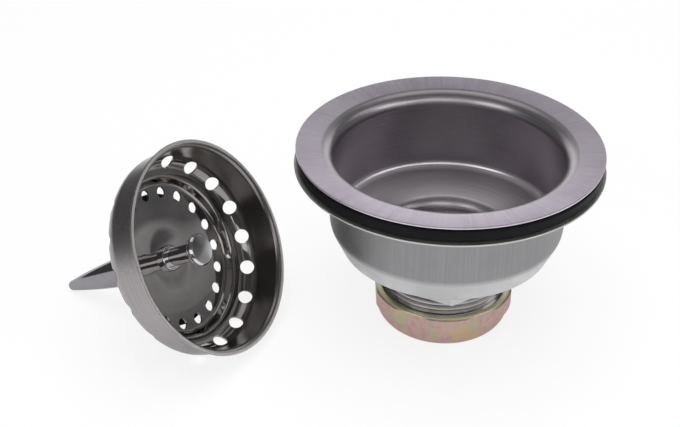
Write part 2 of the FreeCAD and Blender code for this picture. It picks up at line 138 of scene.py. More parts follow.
def thicken(piece, wall, spot, facing):  # a sheet whose drawn side faces that way near the spot
    face = min(piece.data.polygons, key=lambda item: (item.center - Vector(spot) * mm).length)
    if face.normal.dot(Vector(facing)) < 0:
        editAll(piece)
        bpy.ops.mesh.flip_normals()
        bpy.ops.object.mode_set(mode="OBJECT")
    finishWith(piece, "SOLIDIFY", thickness=wall * mm, offset=-1, use_even_offset=True)


def soften(piece, width, angle=50):  # round the edges that turn by more than the angle
    finishWith(piece, "BEVEL", width=width * mm, segments=2, limit_method="ANGLE",
               angle_limit=math.radians(angle))


def cutWith(piece, tool, operation):
    finishWith(piece, "BOOLEAN", operation=operation, object=tool, solver="EXACT")
    bpy.data.objects.remove(tool)


def settle(piece, body, slot, *nodes):
    pickOnly(piece)
    bpy.ops.object.shade_smooth_by_angle(angle=math.radians(smoothAngle))
    finishWith(piece, "WEIGHTED_NORMAL", mode="FACE_AREA", weight=80, keep_sharp=True)
    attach(piece, body)
    if nodes:
        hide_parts(*nodes)
    return piece


# material helpers

wideSpan, tightSpan = (0.3, 0.7), (0.35, 0.65)  # parts of a noise's range that hold most of it
streakNoise = {"scale": 1, "detail": 4, "roughness": 0.6}
cellsPerTurn = 6  # noise cells round a circle of radius 1


def newMaterial(name):
    material = bpy.data.materials.new(name)
    material.use_nodes = True
    return material, material.node_tree, material.node_tree.nodes["Principled BSDF"]


def feed(tree, item, inputs):  # link sockets, set everything else as a plain value
    for name, value in inputs.items():
        if isinstance(value, bpy.types.NodeSocket):
            tree.links.new(value, item.inputs[name])
        else:
            item.inputs[name].default_value = value


def addNode(tree, kind, inputs=None, **settings):
    item = tree.nodes.new("ShaderNode" + kind)
    for name, value in settings.items():
        setattr(item, name, value)
    feed(tree, item, inputs or {})
    return item.outputs[0]


def sums(tree, operation, *values):
    item = tree.nodes.new("ShaderNodeMath")
    item.operation = operation
    feed(tree, item, dict(enumerate(values)))
    return item.outputs[0]


def mixValues(tree, share, first, second):  # the share belongs to the second value
    rest = sums(tree, "SUBTRACT", 1, share)
    return sums(tree, "ADD", sums(tree, "MULTIPLY", second, share), sums(tree, "MULTIPLY", first, rest))


def spread(tree, value, low, high, start, end):  # remap a value from low..high to start..end
    return addNode(tree, "MapRange", {"Value": value, "From Min": low, "From Max": high,
                                      "To Min": start, "To Max": end})


def stretch(tree, value, span=wideSpan, ends=(0, 1)):  # remap the middle of a noise to these ends
    return spread(tree, value, *span, *ends)


def past(tree, value, places, most=1):  # 0 before the first place in millimetres, most after the second
    return spread(tree, value, places[0] * mm, places[1] * mm, 0, most)


def below(tree, value, places):  # 1 before the first place in millimetres, 0 after the second
    return spread(tree, value, places[0] * mm, places[1] * mm, 1, 0)


def blendColours(tree, factor, first, second):
    item = tree.nodes.new("ShaderNodeMix")
    item.data_type = "RGBA"
    sockets = [item.inputs[0], item.inputs[6], item.inputs[7]]  # the factor and the two colours
    for socket, value in zip(sockets, (factor, first, second)):
        if isinstance(value, bpy.types.NodeSocket):
            tree.links.new(value, socket)
        else:
            socket.default_value = value if socket is sockets[0] else (*value, 1)
    return item.outputs[2]  # the colour


def noise(tree, vector, scale, detail=3, roughness=0.55):
    return addNode(tree, "TexNoise", {"Vector": vector, "Scale": scale, "Detail": detail,
                                      "Roughness": roughness})


def bump(tree, height, strength, distance):
    return addNode(tree, "Bump", {"Height": height, "Strength": strength, "Distance": distance * mm})


def roundCoords(tree, place=None):
    # where a point lies round a turned piece: its radius, height and direction from the axis
    spot = tree.nodes.new("ShaderNodeTexCoord").outputs["Object"]
    if place:
        spot = addNode(tree, "Mapping", {"Vector": spot, "Location": place.to_translation(),
                                         "Rotation": place.to_euler()}, vector_type="TEXTURE")
    split = tree.nodes.new("ShaderNodeSeparateXYZ")
    tree.links.new(spot, split.inputs[0])
    flat = addNode(tree, "CombineXYZ", {"X": split.outputs[0], "Y": split.outputs[1]})
    radius = tree.nodes.new("ShaderNodeVectorMath")
    radius.operation = "LENGTH"
    tree.links.new(flat, radius.inputs[0])
    aim = tree.nodes.new("ShaderNodeVectorMath")
    aim.operation = "NORMALIZE"
    tree.links.new(flat, aim.inputs[0])
    direction = tree.nodes.new("ShaderNodeSeparateXYZ")
    tree.links.new(aim.outputs[0], direction.inputs[0])
    return {"spot": spot, "radius": radius.outputs["Value"], "height": split.outputs[2],
            "x": direction.outputs[0], "y": direction.outputs[1]}


def streaksAcross(tree, at, count, drift):
    # streaks that run up or outwards, with about so many round the piece
    along = sums(tree, "ADD", at["radius"], at["height"])
    vector = addNode(tree, "CombineXYZ", {
        "X": sums(tree, "MULTIPLY", at["x"], count / cellsPerTurn),
        "Y": sums(tree, "MULTIPLY", at["y"], count / cellsPerTurn),
        "Z": sums(tree, "MULTIPLY", along, drift)})
    return noise(tree, vector, **streakNoise)


def streaksRound(tree, at, perMetre, drift):
    # streaks that run round the axis
    vector = addNode(tree, "CombineXYZ", {
        "X": sums(tree, "MULTIPLY", at["radius"], perMetre),
        "Y": sums(tree, "MULTIPLY", at["height"], perMetre),
        "Z": sums(tree, "MULTIPLY", at["x"], drift)})
    return noise(tree, vector, **streakNoise)


# drain body: flange, bowl, floor, stopper seat and neck

drain = {
    "flangeRadius": 57.15, "flangeTop": 74.7, "dish": 4.9, "lipRound": 5.69, "bowlRadius": 42.7,
    "bowlCorner": 2.2, "floorHeight": 41.759, "floorSlope": 17.0, "seatRound": 6.0, "neckBore": 22.4,
    "neckEnd": 4.4, "sheet": 0.8, "edge": 0.26,
}
seatHeight = drain["floorHeight"] - slopeRise(drain["bowlRadius"] - drain["neckBore"], drain["floorSlope"])
lipCorner = drain["flangeTop"] - slopeRise(drain["flangeRadius"] - drain["bowlRadius"], drain["dish"])
drainShell = spinRound(drawOutline("drain_shell", [
    (drain["flangeRadius"], drain["flangeTop"]),
    (drain["bowlRadius"], lipCorner, drain["lipRound"]),
    (drain["bowlRadius"], drain["floorHeight"], drain["bowlCorner"]),
    (drain["neckBore"], seatHeight, drain["seatRound"]),
    (drain["neckBore"], drain["neckEnd"]),
]))
thicken(drainShell, drain["sheet"], (drain["flangeRadius"], 0, drain["flangeTop"]), (0, 0, 1))
soften(drainShell, drain["edge"])
settle(drainShell, "drain", "brushed_stainless", "strainer_body")

ridge = {
    "root": 23.1, "crest": 24.05, "flank": 0.78, "flat": 0.3, "low": 5.6, "turns": 10,
    "pitch": 25.4 / 11.5,  # 11.5 threads to the inch
}
crestLow = ridge["low"] + ridge["flank"]
crestTop = crestLow + ridge["flat"]
neckThread = drawOutline("neck_thread", [
    (ridge["root"], ridge["low"]),
    (ridge["crest"], crestLow),
    (ridge["crest"], crestTop),
    (ridge["root"], crestTop + ridge["flank"]),
], closed=True)
bpy.ops.object.mode_set(mode="OBJECT")
finishWith(neckThread, "SCREW", angle=fullTurn, screw_offset=ridge["pitch"] * mm, iterations=ridge["turns"],
           steps=smallSteps, render_steps=smallSteps)
editAll(neckThread)
bpy.ops.mesh.remove_doubles(threshold=mergeReach)
bpy.ops.mesh.fill_holes(sides=0)
bpy.ops.mesh.normals_make_consistent(inside=False)
settle(neckThread, "drain", "brushed_stainless")
print("drain body done")


# rings under the flange

def flatRing(name, ring):  # square inside, rounded outside
    return spinRound(drawOutline(name, [
        (ring["inside"], ring["top"]),
        (ring["inside"], ring["low"]),
        (ring["outside"], ring["low"], ring["round"]),
        (ring["outside"], ring["top"], ring["round"]),
    ], closed=True))


gasket = {"inside": 48.5, "outside": 57.0, "low": 68.506, "top": 73.106, "round": 1.0}
rubberRing = flatRing("rubber_ring", gasket)
settle(rubberRing, "drain", "black_rubber", "rim_gasket")

fibre = {"inside": 44.1, "outside": 55.6, "low": 68.156, "top": 68.456, "round": 0.08}
slipRing = flatRing("fibre_ring", fibre)
settle(slipRing, "friction_washer", "fibre", "friction_washer")
print("rings done")

# locking cup with its hexagonal collar

cup = {
    "flangeRadius": 57.85, "flangeUnder": 67.356, "bend": 2.0, "radius": 44.6, "crease": 42.47,
    "creaseRound": 8.0, "bandRise": 9.77, "bandSlope": 25.2, "bandRound": 2.6, "floor": 27.6,
    "floorSlope": 29.8, "floorRound": 1.6, "bore": 24.2, "sheet": 0.75, "edge": 0.2,
}
bandLow = cup["crease"] - cup["bandRise"]
bandRadius = cup["radius"] - slopeRise(cup["bandRise"], cup["bandSlope"])
flatRadius = bandRadius - slopeReach(bandLow - cup["floor"], cup["floorSlope"])
cupShell = spinRound(drawOutline("cup_shell", [
    (cup["flangeRadius"], cup["flangeUnder"]),
    (cup["radius"], cup["flangeUnder"], cup["bend"]),
    (cup["radius"], cup["crease"], cup["creaseRound"]),
    (bandRadius, bandLow, cup["bandRound"]),
    (flatRadius, cup["floor"], cup["floorRound"]),
    (cup["bore"], cup["floor"]),
]))
thicken(cupShell, cup["sheet"], (cup["flangeRadius"], 0, cup["flangeUnder"]), (0, 0, -1))
soften(cupShell, cup["edge"])
settle(cupShell, "locking_cup", "galvanised_steel", "locking_cup")

hexSides = 6
hexRoundSteps = 6  # faces across a hexagon's rounded corner


def uprightBar(name, sides, radius, low, top, turn=0):
    deselect()
    bpy.ops.mesh.primitive_cylinder_add(
        vertices=sides, radius=radius * mm, depth=(top - low) * mm,
        location=(0, 0, (low + top) / 2 * mm), rotation=(0, 0, math.radians(turn)))
    piece = bpy.context.object
    piece.name = piece.data.name = name
    bpy.ops.object.transform_apply(location=True, rotation=True, scale=True)
    return piece


def hexBlock(name, flats, low, top, turn, cornerRound):
    # an upright hexagonal bar with a corner to the front, its long edges rounded
    piece = uprightBar(name, hexSides, flats / math.sqrt(3), low, top, turn)
    editAll(piece)
    pickEdges(piece, lambda edge: abs(edge.verts[0].co.z - edge.verts[1].co.z) > mm)
    bpy.ops.mesh.bevel(offset=cornerRound * math.tan(math.pi / hexSides) * mm, segments=hexRoundSteps,
                       affect="EDGES", profile=0.5)
    bpy.ops.object.mode_set(mode="OBJECT")
    return piece


collar = {"low": 21.35, "flats": 49.8, "turn": 2.3, "cornerRound": 1.3, "edge": 0.35, "edgeAngle": 60}
collarTop = cup["floor"] + cup["sheet"] / 2
cupCollar = hexBlock("cup_collar", collar["flats"], collar["low"], collarTop, collar["turn"],
                     collar["cornerRound"])
collarBore = uprightBar("collar_bore", spinSteps, cup["bore"], collar["low"] - overrun, collarTop + overrun)
cutWith(cupCollar, collarBore, "DIFFERENCE")
soften(cupCollar, collar["edge"], collar["edgeAngle"])
settle(cupCollar, "locking_cup", "galvanised_steel")
print("cup done")

# slip nut

nut = {
    "flats": 52.8, "height": 13.8, "turn": 0.5, "cornerRound": 0.6, "blank": 27.4, "footRadius": 23.6,
    "footCorner": (25.7, 2.0, 6.0), "waist": 26.3, "waistRise": 6.6, "waistStep": 0.5, "crownRadius": 26.35,
    "crownDrop": 0.6, "bore": 24.2, "mouth": 0.6, "lip": 1.7, "tailBore": 19.3, "edge": 0.2, "edgeAngle": 25,
}
nutShell = spinRound(drawOutline("nut_shell", [
    (nut["tailBore"], 0),
    (nut["footRadius"], 0),
    nut["footCorner"],
    (nut["waist"], nut["waistRise"]),
    (nut["blank"], nut["waistRise"] + nut["waistStep"]),
    (nut["blank"], nut["height"] - nut["crownDrop"]),
    (nut["crownRadius"], nut["height"]),
    (nut["bore"] + nut["mouth"], nut["height"]),
    (nut["bore"], nut["height"] - nut["mouth"]),
    (nut["bore"], nut["lip"]),
    (nut["tailBore"], nut["lip"]),
], closed=True))
nutHexagon = hexBlock("nut_hexagon", nut["flats"], -overrun, nut["height"] + overrun, nut["turn"],
                      nut["cornerRound"])
cutWith(nutShell, nutHexagon, "INTERSECT")
soften(nutShell, nut["edge"], nut["edgeAngle"])
settle(nutShell, "slip_nut", "dichromate_zinc", "slip_nut")
print("nut done")

# basket: turned upright about its own axis, then laid where the solids lie

shell = {
    "rimRadius": 41.2, "rimHeight": 79.6, "rimRound": 2.2, "rimEdge": 0.45, "wallTaper": 0.25,
    "wallDepth": 11.2, "shoulderRound": 6.3, "ridgeRound": 1.6, "ridgeSlope": 62.0, "basinRound": 1.8,
    "floorDepth": 21.0, "dish": 2.0, "hub": 11.0, "hubRound": 30.0, "studHole": 2.05, "sheet": 0.7,
    "edge": 0.18, "holes": 18, "holeSides": 40, "shoulderHole": 2.8, "shoulderLean": 47.0, "floorHole": 2.1,
    "floorHoleCircle": 25.7, "drillLength": 5.0,
}
lie = {"rimCentre": (-88.2, -16.55), "heading": -25.0, "roll": 10.7, "tip": 2.42}
wallTop = shell["rimRadius"] - shell["rimEdge"] - shell["rimRound"]
wallLow = shell["rimHeight"] - shell["wallDepth"]
shoulderCentre = wallTop - shell["wallTaper"] - shell["shoulderRound"]
shoulderLow = wallLow - shell["shoulderRound"]
basketFloor = shell["rimHeight"] - shell["floorDepth"]
hubFloor = basketFloor - shell["dish"]
ridgeRadius = shoulderCentre - slopeRise(shell["ridgeRound"], shell["ridgeSlope"] / 2)
basinRadius = ridgeRadius - slopeReach(shoulderLow - basketFloor, shell["ridgeSlope"])


def basketPlace():
    # the basket rests on its shoulder and on the round tip of its spear
    climb = wallLow - lie["tip"]
    drop = shell["shoulderRound"] + shell["sheet"] - lie["tip"]
    lean = math.atan2(shoulderCentre, climb) + math.asin(drop / math.hypot(climb, shoulderCentre))
    tilted = (Matrix.Rotation(math.radians(lie["heading"]), 4, "Z")
              @ Matrix.Rotation(math.pi / 2 - lean, 4, "Y"))
    foot = Vector((*lie["rimCentre"], 0)) - tilted @ Vector((0, 0, shell["rimHeight"]))
    foot.z = lie["tip"] * (1 - math.sin(lean))
    return Matrix.Translation(foot * mm) @ tilted @ Matrix.Rotation(math.radians(lie["roll"]), 4, "Z")


lying = basketPlace()


def layDown(piece):
    piece.matrix_world = lying
    pickOnly(piece)
    bpy.ops.object.transform_apply(location=True, rotation=True, scale=True)


def holeDrills(name, radius, reach, height, lean):
    # one drill, copied round the axis
    deselect()
    bpy.ops.mesh.primitive_cylinder_add(
        vertices=shell["holeSides"], radius=radius * mm, depth=shell["drillLength"] * mm,
        location=(reach * mm, 0, height * mm), rotation=(0, math.radians(-lean), 0))
    drill = bpy.context.object
    drill.name = name
    bpy.ops.object.transform_apply(location=True, rotation=True, scale=True)
    editAll(drill)
    bpy.ops.mesh.spin(steps=shell["holes"] - 1, dupli=True, angle=fullTurn * (1 - 1 / shell["holes"]),
                      center=(0, 0, 0), axis=(0, 0, 1))
    bpy.ops.object.mode_set(mode="OBJECT")
    return drill


basket = spinRound(drawOutline("basket_shell_steel", [
    (shell["rimRadius"], shell["rimHeight"]),
    (wallTop, shell["rimHeight"], shell["rimRound"]),
    (wallTop - shell["wallTaper"], shoulderLow, shell["shoulderRound"]),
    (ridgeRadius, shoulderLow, shell["ridgeRound"]),
    (basinRadius, basketFloor, shell["basinRound"]),
    (shell["hub"], hubFloor, shell["hubRound"]),
    (shell["studHole"], hubFloor),
]))
thicken(basket, shell["sheet"], (shell["studHole"], 0, hubFloor), (0, 0, 1))
soften(basket, shell["edge"])
shoulderTurn = math.radians(shell["shoulderLean"])
shoulderDrills = holeDrills("shoulder_drills", shell["shoulderHole"],
                            shoulderCentre + shell["shoulderRound"] * math.sin(shoulderTurn),
                            wallLow - shell["shoulderRound"] * math.cos(shoulderTurn), shell["shoulderLean"])
cutWith(basket, shoulderDrills, "DIFFERENCE")
floorDrills = holeDrills("floor_drills", shell["floorHole"], shell["floorHoleCircle"], basketFloor, 0)
cutWith(basket, floorDrills, "DIFFERENCE")
layDown(basket)
settle(basket, "basket", "polished_stainless", "basket_shell")
print("basket shell done")

# knob, foot ring, stopper and spear on the basket's axis

handle = {
    "top": 74.6, "dome": 0.45, "domeShare": 0.55, "domeDropShare": 0.25, "face": 5.5, "faceRound": 0.4,
    "radius": 6.25, "bevel": 0.75, "bevelRound": 0.3, "rim": 0.7, "rimRound": 0.25, "cone": 1.1,
    "coneRound": 0.3, "throat": 4.2, "throatRise": 0.6, "throatRound": 0.12, "ring": 5.0, "ringThick": 0.9,
    "ringRound": 0.3, "post": 3.5, "postRound": 0.2, "stud": 2.0, "studLow": 41.7,
}
rimTop = handle["top"] - handle["dome"] - handle["bevel"]
rimLow = rimTop - handle["rim"]
coneLow = rimLow - handle["cone"]
ringTop = coneLow - handle["throatRise"]
ringLow = ringTop - handle["ringThick"]
knob = spinRound(drawOutline("knob_and_post", [
    (0, handle["top"]),
    (handle["face"] * handle["domeShare"], handle["top"] - handle["dome"] * handle["domeDropShare"]),
    (handle["face"], handle["top"] - handle["dome"], handle["faceRound"]),
    (handle["radius"], rimTop, handle["bevelRound"]),
    (handle["radius"], rimLow, handle["rimRound"]),
    (handle["throat"], coneLow, handle["coneRound"]),
    (handle["throat"], ringTop, handle["throatRound"]),
    (handle["ring"], ringTop, handle["ringRound"]),
    (handle["ring"], ringLow, handle["ringRound"]),
    (handle["post"], ringLow, handle["postRound"]),
    (handle["post"], hubFloor),
    (handle["stud"], hubFloor),
    (handle["stud"], handle["studLow"]),
    (0, handle["studLow"]),
]), smallSteps)
layDown(knob)
settle(knob, "basket", "bright_chrome", "knob_post")

footRing = {"inside": 3.55, "radius": 5.1, "height": 1.8, "round": 0.6}
ferrule = spinRound(drawOutline("foot_ring", [
    (footRing["inside"], hubFloor),
    (footRing["radius"], hubFloor),
    (footRing["radius"], hubFloor + footRing["height"], footRing["round"]),
    (footRing["inside"], hubFloor + footRing["height"]),
], closed=True), smallSteps)
layDown(ferrule)
settle(ferrule, "basket", "bright_chrome", "post_ferrule")

disc = {
    "top": 55.9, "hub": 11.0, "hubRound": 6.0, "radius": 26.3, "drop": 0.2, "round": 0.7, "lipInset": 0.8,
    "lipRise": 1.1, "lipRound": 0.5, "thick": 4.0, "underRound": 3.0, "bore": 2.05,
}
discEdge = disc["top"] - disc["drop"]
discUnder = disc["top"] - disc["thick"]
stopper = spinRound(drawOutline("stopper_disc", [
    (disc["bore"], disc["top"]),
    (disc["hub"], disc["top"], disc["hubRound"]),
    (disc["radius"], discEdge, disc["round"]),
    (disc["radius"] - disc["lipInset"], discEdge - disc["round"] - disc["lipRise"], disc["lipRound"]),
    (disc["hub"], discUnder, disc["underRound"]),
    (disc["bore"], discUnder),
], closed=True))
layDown(stopper)
settle(stopper, "basket", "black_rubber", "stopper")

point = {"radius": 6.7, "length": 50.7, "tip": 2.1, "bore": 2.05, "steps": 14, "tipSteps": 6}
wide, long, tip = point["radius"], point["length"], point["tip"]
flankArc = (wide ** 2 + long ** 2 - 2 * tip * long) / (2 * wide - 2 * tip)  # meets the tip's arc smoothly
tipAngle = math.asin((long - tip) / (flankArc - tip))
flankTurns = [tipAngle * step / point["steps"] for step in range(point["steps"] + 1)]
flank = [(wide - flankArc * (1 - math.cos(turn)), long - flankArc * math.sin(turn)) for turn in flankTurns]
tipTurns = [tipAngle + (math.pi / 2 - tipAngle) * step / point["tipSteps"]
            for step in range(1, point["tipSteps"])]
nose = [(tip * math.cos(turn), tip * (1 - math.sin(turn))) for turn in tipTurns]
spear = spinRound(drawOutline("chrome_spear", [(point["bore"], long), *flank, *nose, (0, 0)]), smallSteps)
layDown(spear)
settle(spear, "basket", "bright_chrome", "guide_spear")
print("basket fittings done")

# finishes: tones from dull to bright, and the places in millimetres where they change

steelFinish = {
    # the corner tone is a painted highlight: a bright line round the bowl's corner
    "flangeTones": ((0.62, 0.555, 0.64), (0.77, 0.71, 0.805)), "cornerHighlightTone": (0.88, 0.85, 0.88),
    "floorTones": ((0.52, 0.49, 0.52), (0.61, 0.58, 0.61)),
    # the wall tones, darker than the floor's, are painted shade on the bowl's walls
    "wallTones": ((0.45, 0.42, 0.45), (0.53, 0.50, 0.53)),
    "fineStreaks": (900, 25), "wideStreaks": (330, 30), "wideShare": 0.45, "cloudScale": 55,
    "roundMarks": (2600, 1.2), "roughness": (0.26, 0.40), "relief": (0.10, 0.25),
    "flangeFrom": (47.2, 48.0), "wallFrom": (42.8, 44.5), "cornerHighlightFrom": (39.8, 40.8),
    "cornerHighlightTop": (42.8, 44.0),
}


def brushedStainless():
    # radial brushing on the flange, circular marks in the bowl, a painted highlight line in the bowl's corner
    finish = steelFinish
    material, tree, shader = newMaterial("brushed_stainless")
    at = roundCoords(tree)
    radial = streaksAcross(tree, at, *finish["fineStreaks"])
    wideMarks = streaksAcross(tree, at, *finish["wideStreaks"])
    cloud = noise(tree, at["spot"], finish["cloudScale"])
    circular = streaksRound(tree, at, *finish["roundMarks"])
    onFlange = past(tree, at["radius"], finish["flangeFrom"])
    onWall = past(tree, at["height"], finish["wallFrom"])
    # painted highlight: the bowl's corner is coloured near white
    onCornerHighlight = sums(tree, "MULTIPLY", past(tree, at["radius"], finish["cornerHighlightFrom"]),
                    below(tree, at["height"], finish["cornerHighlightTop"]))
    brush = mixValues(tree, onFlange, circular, radial)
    patchy = mixValues(tree, finish["wideShare"], cloud, wideMarks)
    flangeTone = blendColours(tree, stretch(tree, patchy, tightSpan), *finish["flangeTones"])
    marks = stretch(tree, circular)
    floorTone = blendColours(tree, marks, *finish["floorTones"])
    # painted shade: the bowl's walls are coloured darker than its floor
    wallTone = blendColours(tree, marks, *finish["wallTones"])
    sidesTone = blendColours(tree, onWall, floorTone, wallTone)
    bowlTone = blendColours(tree, onCornerHighlight, sidesTone, finish["cornerHighlightTone"])
    feed(tree, shader, {
        "Base Color": blendColours(tree, onFlange, bowlTone, flangeTone), "Metallic": 1,
        "Roughness": stretch(tree, brush, ends=finish["roughness"]),
        "Normal": bump(tree, brush, *finish["relief"]),
    })
    return material


threadFinish = {
    "tones": ((0.36, 0.345, 0.34), (0.46, 0.445, 0.44)), "stainScale": 140, "roughness": (0.12, 0.2),
}


def threadSteel():
    finish = threadFinish
    material, tree, shader = newMaterial("thread_steel")
    at = roundCoords(tree)
    stain = noise(tree, at["spot"], finish["stainScale"])
    feed(tree, shader, {
        "Base Color": blendColours(tree, stretch(tree, stain, tightSpan), *finish["tones"]), "Metallic": 1,
        "Roughness": stretch(tree, stain, ends=finish["roughness"]),
    })
    return material


stampedFinish = {
    "tones": ((0.46, 0.45, 0.46), (0.58, 0.57, 0.58)), "grainScale": 900, "roughness": (0.28, 0.42),
    "relief": (0.08, 0.2),
}


def stampedStainless(place=None):
    finish = stampedFinish
    material, tree, shader = newMaterial("stamped_stainless")
    at = roundCoords(tree, place)
    grain = noise(tree, at["spot"], finish["grainScale"])
    feed(tree, shader, {
        "Base Color": blendColours(tree, grain, *finish["tones"]), "Metallic": 1,
        "Roughness": stretch(tree, grain, ends=finish["roughness"]),
        "Normal": bump(tree, grain, *finish["relief"]),
    })
    return material


rubberFinish = {
    "tones": ((0.006, 0.006, 0.007), (0.011, 0.011, 0.013)), "grainScale": 2600, "bloomScale": 130,
    "bloomSpan": (0.35, 0.7), "roughness": (0.42, 0.58), "shine": 0.1, "relief": (0.15, 0.1),
}


def blackRubber(place=None):
    finish = rubberFinish
    material, tree, shader = newMaterial("black_rubber")
    at = roundCoords(tree, place)
    grain = noise(tree, at["spot"], finish["grainScale"])
    bloom = noise(tree, at["spot"], finish["bloomScale"])
    feed(tree, shader, {
        "Base Color": blendColours(tree, stretch(tree, bloom, finish["bloomSpan"]), *finish["tones"]),
        "Roughness": stretch(tree, bloom, ends=finish["roughness"]),
        "Normal": bump(tree, grain, *finish["relief"]), "Specular IOR Level": finish["shine"],
    })
    return material


fibreFinish = {
    "tones": ((0.20, 0.155, 0.11), (0.36, 0.29, 0.215)), "fibres": (1400, 5, 0.7), "roughness": 0.85,
    "relief": (0.3, 0.1),
}


def tanFibre():
    finish = fibreFinish
    material, tree, shader = newMaterial("tan_fibre")
    at = roundCoords(tree)
    fibres = noise(tree, at["spot"], *finish["fibres"])
    feed(tree, shader, {
        "Base Color": blendColours(tree, fibres, *finish["tones"]), "Roughness": finish["roughness"],
        "Normal": bump(tree, fibres, *finish["relief"]),
    })
    return material


cupFinish = {
    "wallTones": ((0.315, 0.315, 0.324), (0.39, 0.39, 0.398)),
    # the band's lighter tones are a painted reflection of the floor below the crease
    "bandReflectionTones": ((0.60, 0.60, 0.61), (0.74, 0.74, 0.75)),
    # the flange tone is a painted highlight, a light line along the flange's edge
    "flangeTone": (0.68, 0.67, 0.65), "drawMarks": (420, 12), "drawShare": 0.4, "clouds": (60, 4),
    "mottleSpan": (0.38, 0.62), "roughness": (0.52, 0.64), "relief": (0.03, 0.25),
    "bandReflectionTop": (40.5, 43.4), "flangeFrom": (66.8, 67.2),
}


def galvanisedSteel():
    # drawn zinc-coated sheet: faint upright streaks, a painted highlight on the flange, and a painted
    # reflection that lightens the band under the crease
    finish = cupFinish
    material, tree, shader = newMaterial("galvanised_steel")
    at = roundCoords(tree)
    draw = streaksAcross(tree, at, *finish["drawMarks"])
    cloud = noise(tree, at["spot"], *finish["clouds"])
    mottle = mixValues(tree, finish["drawShare"], cloud, draw)
    wall = blendColours(tree, stretch(tree, mottle, finish["mottleSpan"]), *finish["wallTones"])
    # painted reflection: the band under the crease is coloured lighter than the wall
    band = blendColours(tree, stretch(tree, cloud, tightSpan), *finish["bandReflectionTones"])
    sides = blendColours(tree, below(tree, at["height"], finish["bandReflectionTop"]), wall, band)
    # painted highlight: the flange is coloured lighter than the wall
    onFlange = past(tree, at["height"], finish["flangeFrom"])
    feed(tree, shader, {
        "Base Color": blendColours(tree, onFlange, sides, finish["flangeTone"]), "Metallic": 1,
        "Roughness": stretch(tree, cloud, ends=finish["roughness"]),
        "Normal": bump(tree, draw, *finish["relief"]),
    })
    return material


nutFinish = {
    "pinkTones": ((0.56, 0.35, 0.345), (0.66, 0.475, 0.44)), "yellowTone": (0.62, 0.49, 0.30),
    # the crown tone is yellow-green plating painted near white as a highlight
    "greenTone": (0.50, 0.53, 0.33), "crownTintAndHighlightTone": (0.94, 0.93, 0.62), "fine": (420, 4),
    "yellow": (105, 2), "yellowSpan": (0.52, 0.64), "yellowEnds": (0, 0.8),
    "green": (165, 2), "greenSpan": (0.54, 0.66), "greenEnds": (0, 0.85),
    "crownFrom": (13.45, 13.6), "crownMost": 0.9, "roughness": (0.34, 0.48), "relief": (0.06, 0.2),
}


def dichromateZinc():
    # plated zinc that shimmers from pink to yellow-green, its top face yellow-green plating painted near
    # white as a highlight
    finish = nutFinish
    material, tree, shader = newMaterial("dichromate_zinc")
    at = roundCoords(tree)
    fine = noise(tree, at["spot"], *finish["fine"])
    yellowPatches = noise(tree, at["spot"], *finish["yellow"])
    greenPatches = noise(tree, at["spot"], *finish["green"])
    yellow = stretch(tree, yellowPatches, finish["yellowSpan"], finish["yellowEnds"])
    green = stretch(tree, greenPatches, finish["greenSpan"], finish["greenEnds"])
    pinkTone = blendColours(tree, stretch(tree, fine, tightSpan), *finish["pinkTones"])
    warmTone = blendColours(tree, yellow, pinkTone, finish["yellowTone"])
    sidesTone = blendColours(tree, green, warmTone, finish["greenTone"])
    # the top face: yellow-green plating with a painted highlight
    crown = past(tree, at["height"], finish["crownFrom"], finish["crownMost"])
    feed(tree, shader, {
        "Base Color": blendColours(tree, crown, sidesTone, finish["crownTintAndHighlightTone"]), "Metallic": 1,
        "Roughness": stretch(tree, fine, ends=finish["roughness"]),
        "Normal": bump(tree, fine, *finish["relief"]),
    })
    return material


plasticFinish = {
    "tones": ((0.72, 0.72, 0.70), (0.80, 0.80, 0.78)), "mottleScale": 300, "roughness": (0.38, 0.5),
    "relief": (0.05, 0.2),
}


def whitePlastic():
    finish = plasticFinish
    material, tree, shader = newMaterial("white_plastic")
    at = roundCoords(tree)
    mottle = noise(tree, at["spot"], finish["mottleScale"])
    feed(tree, shader, {
        "Base Color": blendColours(tree, mottle, *finish["tones"]),
        "Roughness": stretch(tree, mottle, ends=finish["roughness"]),
        "Normal": bump(tree, mottle, *finish["relief"]),
    })
    return material


insideFinish = {
    # the rim tone is a painted highlight along the rim's edge
    "polishedTones": ((0.29, 0.276, 0.272), (0.35, 0.332, 0.323)), "rimHighlightTone": (0.90, 0.88, 0.87),
    "satinTones": ((0.25, 0.238, 0.234), (0.31, 0.295, 0.287)), "clouds": (70, 4),
    "roughness": (0.03, 0.07), "satinRoughness": 0.2, "rimRoughness": 0.25,
    "satinFrom": (36.8, 38.0), "rimHighlightFrom": (39.6, 40.2),
}


def polishedInside():
    # mirror polish on the floor and shoulder, satin up the wall, a painted highlight along the rim
    finish = insideFinish
    material, tree, shader = newMaterial("polished_stainless")
    at = roundCoords(tree, lying)
    cloud = noise(tree, at["spot"], *finish["clouds"])
    onWall = past(tree, at["radius"], finish["satinFrom"])
    # painted highlight: the rim is coloured near white
    onRimHighlight = past(tree, at["radius"], finish["rimHighlightFrom"])
    mottle = stretch(tree, cloud, tightSpan)
    polished = blendColours(tree, mottle, *finish["polishedTones"])
    satin = blendColours(tree, mottle, *finish["satinTones"])
    wallTone = blendColours(tree, onWall, polished, satin)
    rough = sums(tree, "ADD", stretch(tree, cloud, ends=finish["roughness"]),
                 sums(tree, "MULTIPLY", onWall, finish["satinRoughness"]))
    feed(tree, shader, {
        "Base Color": blendColours(tree, onRimHighlight, wallTone, finish["rimHighlightTone"]), "Metallic": 1,
        "Roughness": sums(tree, "ADD", rough, sums(tree, "MULTIPLY", onRimHighlight, finish["rimRoughness"])),
    })
    return material


outsideFinish = {
    "tones": ((0.32, 0.30, 0.305), (0.40, 0.38, 0.385)), "roundMarks": (3400, 1.5), "clouds": (90, 4),
    "roughness": (0.25, 0.33), "facingShare": 0.3, "radiusShare": 0.99,
}


